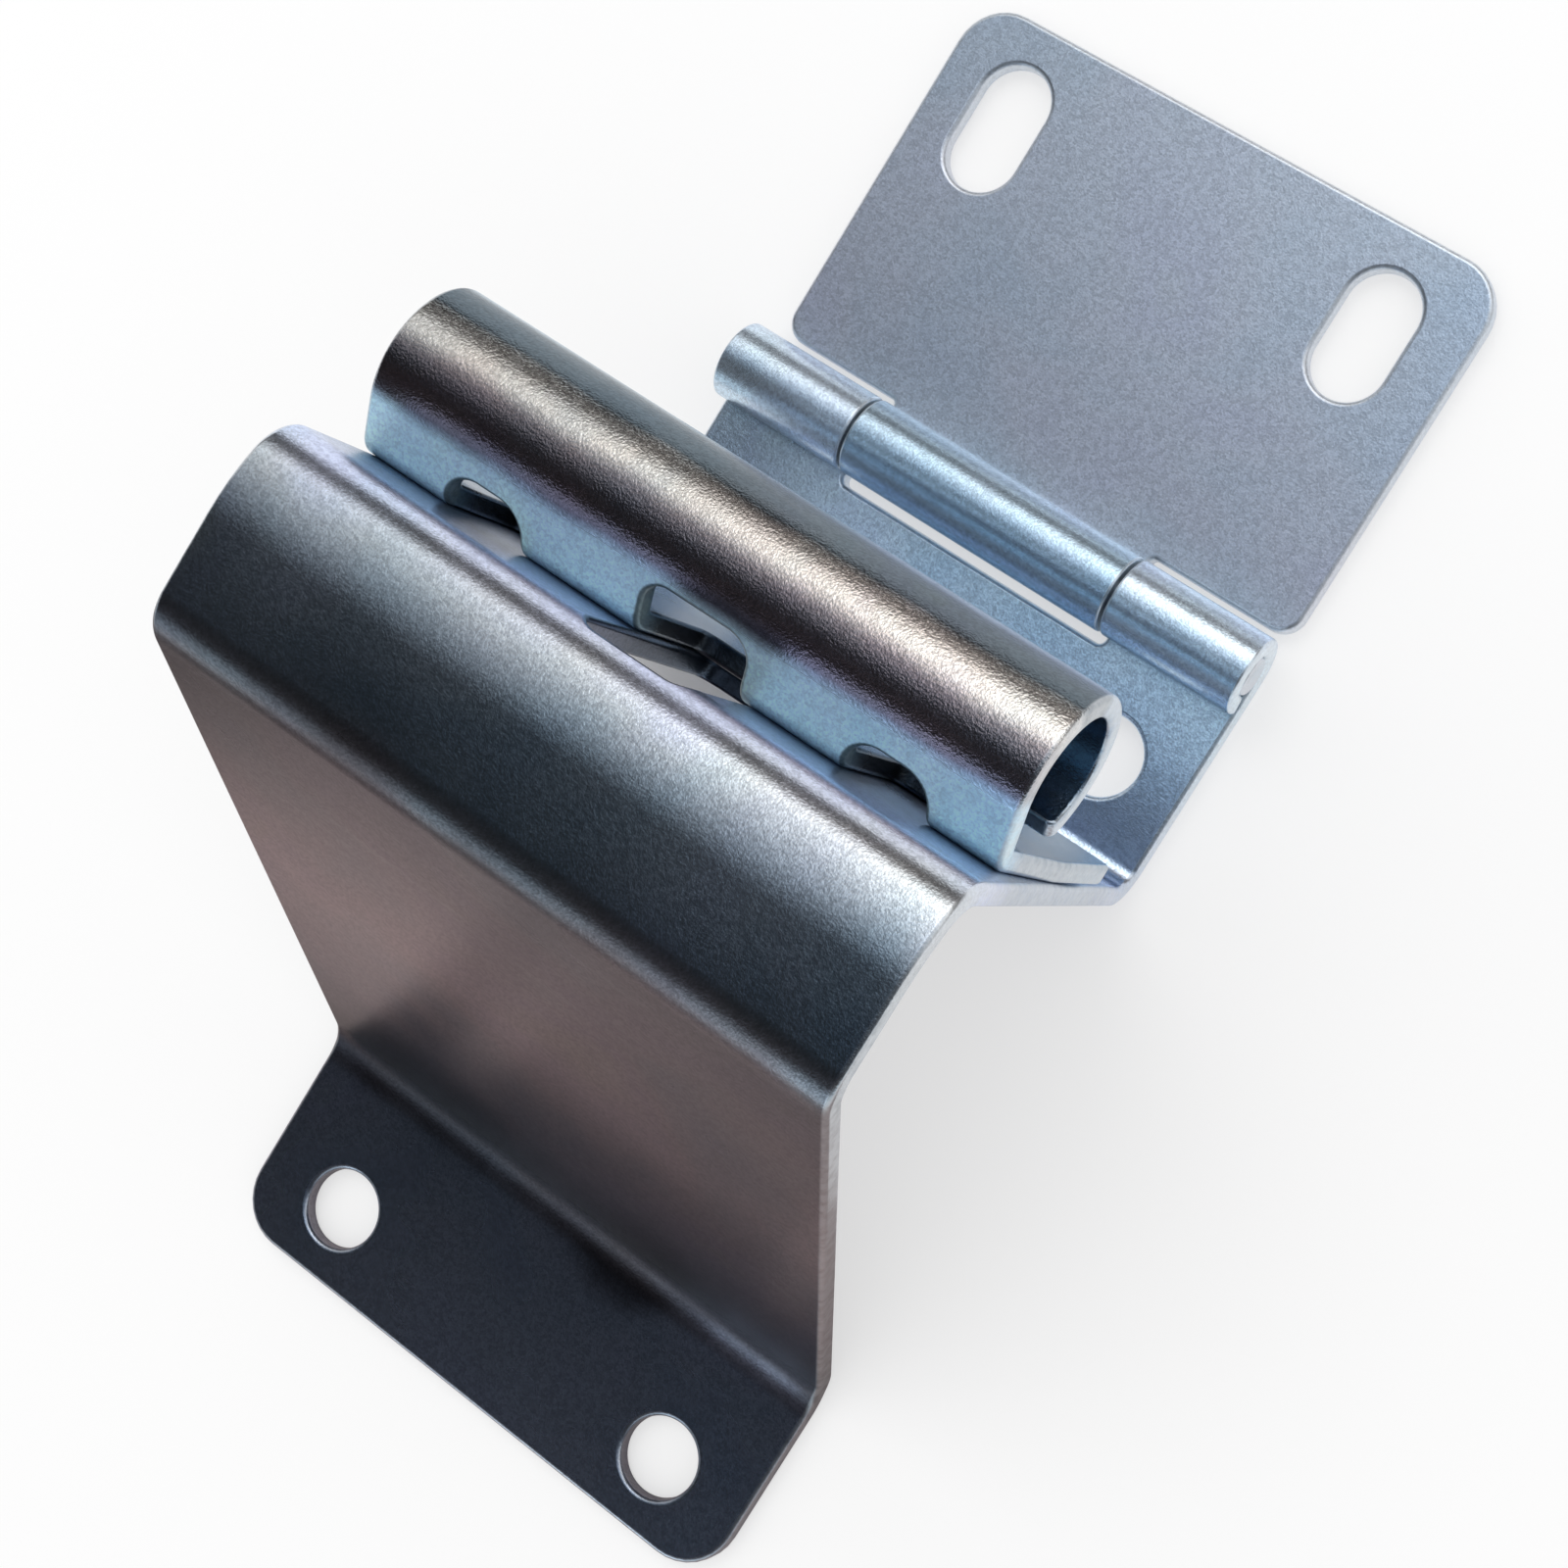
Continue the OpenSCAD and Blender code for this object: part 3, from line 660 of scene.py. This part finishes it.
# In each look, inside tints the inner face of the bends darker as painted shade, strongest in the carrier's curl; the
# cut share darkens marked cut walls as painted shade.
mainLook = dict(wander=2.5, film=0.35, cloud=38.0, grain=4400.0, sharp=0.8, speckle=0.18, patchy=0.02,
                stretch=(60.0, 900.0, 900.0), rub=0.12, edge=0.6, bump=0.45, bumpHigh=0.00002,
                inside=(0.85, 0.88, 0.92), cutShade=0.3,
                haze=[(0.0, 0.0), (s[9] - 2, 0.0), (s[10], 0.14), (s[10] + 12, 0.14)])
s = upperPath["s"]
upperStops = [
    (0.0, (0.64, 0.70, 0.77), 0.38), (s[1] - 9, (0.62, 0.655, 0.73), 0.38), (s[1] - 1, (0.68, 0.75, 0.82), 0.36),
    (s[1] + 3, (0.60, 0.76, 0.86), 0.27), (upperPath["end"], (0.60, 0.76, 0.86), 0.27)]
upperLook = dict(wander=1.0, film=0.3, cloud=30.0, grain=4600.0, sharp=0.8, speckle=0.17, patchy=0.02,
                 stretch=(500.0, 60.0, 500.0), rub=0.12, edge=0.6, bump=0.4, bumpHigh=0.00002,
                 inside=(0.85, 0.88, 0.92), cutShade=0.3,
                 haze=[(0.0, 0.05), (s[1] - 2, 0.05), (s[1] + 3, 0.14), (upperPath["end"], 0.14)])
s = carrierPath["s"]
# Carrier colours are partly painted light: a painted pale reflection on the neck, and round the curl a painted
# highlight streak between painted dark bands.
carrierToneAndShadeStops = [
    (0.0, (0.42, 0.52, 0.60), 0.26), (s[1] + 2, (0.30, 0.37, 0.42), 0.26), (s[3] - 3, (0.30, 0.37, 0.43), 0.26),
    (s[3], (0.44, 0.72, 0.90), 0.34), (s[4], (0.60, 0.91, 1.0), 0.36), (s[5] + 0.4, (0.56, 0.84, 1.0), 0.30),
    (s[5] + 1.4, (0.22, 0.23, 0.27), 0.18), (s[5] + 3, (0.40, 0.33, 0.325), 0.18), (s[5] + 5, (0.36, 0.30, 0.29), 0.18),
    (s[5] + 6.2, (0.66, 0.62, 0.57), 0.22), (s[5] + 8.4, (0.70, 0.68, 0.64), 0.22), (s[5] + 9.2, (0.14, 0.17, 0.19), 0.18),
    (s[5] + 12.6, (0.12, 0.16, 0.19), 0.18), (s[5] + 13.8, (0.50, 0.62, 0.70), 0.24),
    (carrierPath["end"], (0.50, 0.60, 0.68), 0.24)]
carrierLook = dict(wander=0.5, film=0.4, cloud=55.0, grain=4200.0, sharp=1.0, speckle=0.15, patchy=0.02,
                   stretch=(50.0, 700.0, 700.0), rub=0.15, edge=0.6, bump=0.5, bumpHigh=0.00003,
                   inside=(0.5, 0.62, 0.72), cutShade=0.3,
                   haze=[(0.0, 0.0), (s[3] - 1, 0.0), (s[3] + 1, 0.5), (s[4], 0.62), (s[5], 0.55), (s[5] + 1.5, 0.0),
                         (carrierPath["end"], 0.0)])
pinLook = dict(color=(0.68, 0.72, 0.76), rough=0.3, stretch=(40.0, 1500.0, 1500.0), rub=0.4, grain=3000.0)

mainObj.data.materials.append(platedSteel("mainLeafZinc", mainPath, mainToneAndShadeStops, mainLook))
upperObj.data.materials.append(platedSteel("upperLeafZinc", upperPath, upperStops, upperLook))
carrierObj.data.materials.append(platedSteel("carrierZinc", carrierPath, carrierToneAndShadeStops, carrierLook))
pinObj.data.materials.append(drawnSteel("pinSteel", pinLook))
print("stage: finish")


# Level plate: four corners at one height.
def levelPlate(name, x0, x1, y0, y1, z):
    mesh = bpy.data.meshes.new(name)
    mesh.from_pydata([(x0, y0, z), (x1, y0, z), (x1, y1, z), (x0, y1, z)], [], [(0, 1, 2, 3)])
    obj = bpy.data.objects.new(name, mesh)
    bpy.context.scene.collection.objects.link(obj)
    return obj


def mattePaint(name, color):
    material = bpy.data.materials.new(name)
    material.use_nodes = True
    bsdf = material.node_tree.nodes["Principled BSDF"]
    bsdf.inputs["Base Color"].default_value = (*color, 1)
    bsdf.inputs["Roughness"].default_value = 0.9
    bsdf.inputs["Specular IOR Level"].default_value = 0.1
    return material


# Floor
floorSet = dict(half=3.0, level=-0.0003, color=(0.96, 0.96, 0.96), white=0.55,
                under=dict(x=-0.020, y=-0.024, halfX=0.022, halfY=0.022, soft=0.013))
k = floorSet["half"]
floor = levelPlate("floor", -k, k, -k, k, floorSet["level"])
floorPaint = mattePaint("paleFloor", floorSet["color"])
floor.data.materials.append(floorPaint)
tree = floorPaint.node_tree
rays = node(tree, "ShaderNodeLightPath").outputs
seen = math(tree, "ADD", math(tree, "ADD", rays["Is Camera Ray"], rays["Is Glossy Ray"]), rays["Is Transmission Ray"], clamp=True)
glow = node(tree, "ShaderNodeEmission", Color=(1, 1, 1, 1), Strength=1.0)
under = floorSet["under"]  # the floor stays in full shadow under the raised plateau
spot = node(tree, "ShaderNodeSeparateXYZ", Vector=node(tree, "ShaderNodeTexCoord").outputs["Object"]).outputs
offX = remap(tree, math(tree, "ABSOLUTE", math(tree, "SUBTRACT", spot[0], under["x"])), under["halfX"] - under["soft"], under["halfX"])
offY = remap(tree, math(tree, "ABSOLUTE", math(tree, "SUBTRACT", spot[1], under["y"])), under["halfY"] - under["soft"], under["halfY"])
openFloor = math(tree, "MAXIMUM", offX, offY)
mixed = node(tree, "ShaderNodeMixShader",
             in0=math(tree, "MULTIPLY", math(tree, "MULTIPLY", seen, floorSet["white"]), openFloor),
             in1=tree.nodes["Principled BSDF"].outputs[0], in2=glow.outputs[0])
link(tree, mixed.outputs[0], tree.nodes["Material Output"].inputs["Surface"])

# Brown table card in front of the foot, which only reflections see; the web mirrors it, as in the photo
card = dict(left=-0.30, right=0.16, near=-0.60, far=-0.050, level=-0.0001,
            tones=[(-0.095, 0.2), (-0.06, 0.48), (-0.02, 0.52), (0.02, 0.42)], tint=(1.0, 0.85, 0.83))
tableCard = levelPlate("tableCard", card["left"], card["right"], card["near"], card["far"], card["level"])
cardPaint = mattePaint("brownCard", card["tint"])
tree = cardPaint.node_tree
across = node(tree, "ShaderNodeSeparateXYZ", Vector=node(tree, "ShaderNodeTexCoord").outputs["Object"]).outputs[0]
low, high = card["tones"][0][0], card["tones"][-1][0]
shade = ramp(tree, remap(tree, across, low, high),
             [((x - low) / (high - low), tuple(v * c for c in card["tint"])) for x, v in card["tones"]])
link(tree, shade, tree.nodes["Principled BSDF"].inputs["Base Color"])
tableCard.data.materials.append(cardPaint)
tableCard.visible_camera = tableCard.visible_diffuse = tableCard.visible_shadow = tableCard.visible_transmission = False

# Light: a pale even room for the floor and the background. Reflections see the same room with a long soft
# box above the back edge and a dark ceiling over the front.
studio = dict(roomLevel=0.92, reflectLevel=2.6, lampPower=1.1, lampSize=0.5, lampPlace=(-0.25, 0.35, 0.7))
sides = [(-1.0, 0.36), (-0.46, 0.29), (-0.36, 0.36), (-0.33, 0.43), (-0.29, 0.68), (-0.24, 1.1), (-0.1, 1.1), (0.15, 0.52), (1.0, 0.44)]
bands = [  # degrees from straight up, turning towards the back (+Y), and the tone there
    (-180, (0.7, 0.7, 0.7)), (-94, (0.7, 0.72, 0.74)), (-86, (0.62, 0.72, 0.78)), (-70, (0.50, 0.58, 0.64)),
    (-56, (0.06, 0.055, 0.06)), (-30, (0.018, 0.018, 0.022)), (-10, (0.012, 0.018, 0.026)),
    (-1, (0.05, 0.07, 0.095)), (6, (0.26, 0.31, 0.37)), (20, (0.46, 0.50, 0.55)), (32, (0.9, 0.92, 0.94)),
    (40, (1.1, 1.1, 1.08)), (52, (1.1, 1.08, 1.05)), (60, (0.3, 0.28, 0.27)), (68, (0.06, 0.048, 0.044)),
    (86, (0.05, 0.045, 0.044)), (94, (0.6, 0.6, 0.6)), (180, (0.7, 0.7, 0.7))]
world = bpy.data.worlds.new("studio")
bpy.context.scene.world = world
world.use_nodes = True
tree = world.node_tree
room = tree.nodes["Background"]
room.inputs["Color"].default_value = (1, 1, 1, 1)
rays = node(tree, "ShaderNodeLightPath").outputs
link(tree, remap(tree, rays["Is Camera Ray"], 0.0, 1.0, studio["roomLevel"], 1.0), room.inputs["Strength"])
direction = node(tree, "ShaderNodeTexCoord").outputs["Generated"]
axis = node(tree, "ShaderNodeSeparateXYZ", Vector=direction).outputs
overhead = math(tree, "ARCTAN2", axis[1], axis[2])
panels = ramp(tree, remap(tree, overhead, -np.pi, np.pi), [((a + 180) / 360, c) for a, c in bands])
side = ramp(tree, remap(tree, axis[0], -1.0, 1.0), [((x + 1) / 2, (v, v, v)) for x, v in sides])
level = math(tree, "MULTIPLY", side, studio["reflectLevel"])
shown = node(tree, "ShaderNodeBackground", Color=panels, Strength=level)
both = node(tree, "ShaderNodeMixShader", in0=rays["Is Glossy Ray"], in1=room.outputs[0], in2=shown.outputs[0])
link(tree, both.outputs[0], tree.nodes["World Output"].inputs["Surface"])

lamp = bpy.data.objects.new("softBox", bpy.data.lights.new("softBox", "AREA"))
lamp.data.energy = studio["lampPower"]
lamp.data.size = studio["lampSize"]
lamp.location = studio["lampPlace"]
lamp.rotation_euler = (-Vector(studio["lampPlace"])).to_track_quat("-Z", "Y").to_euler()
lamp.visible_glossy = False
bpy.context.scene.collection.objects.link(lamp)
print("stage: floor and light")

# Camera, from the fit of the photo's edges to the CAD sizes
cameraSet = dict(place=(0.09261, 0.01415, 0.26598), turn=(4.983, 19.517, 33.647), lens=66.894, shift=(-0.0344, 0.0095))
cameraData = bpy.data.cameras.new("camera")
cameraData.lens = cameraSet["lens"]
cameraData.sensor_width = 36
cameraData.shift_x, cameraData.shift_y = cameraSet["shift"]
cameraData.clip_start = 0.01
cameraData.clip_end = 50
camera = bpy.data.objects.new("camera", cameraData)
camera.location = cameraSet["place"]
camera.rotation_euler = Euler([radians(a) for a in cameraSet["turn"]], "XYZ")
bpy.context.scene.collection.objects.link(camera)
bpy.context.scene.camera = camera
bpy.context.scene.view_settings.view_transform = "Standard"

print("stage: done")
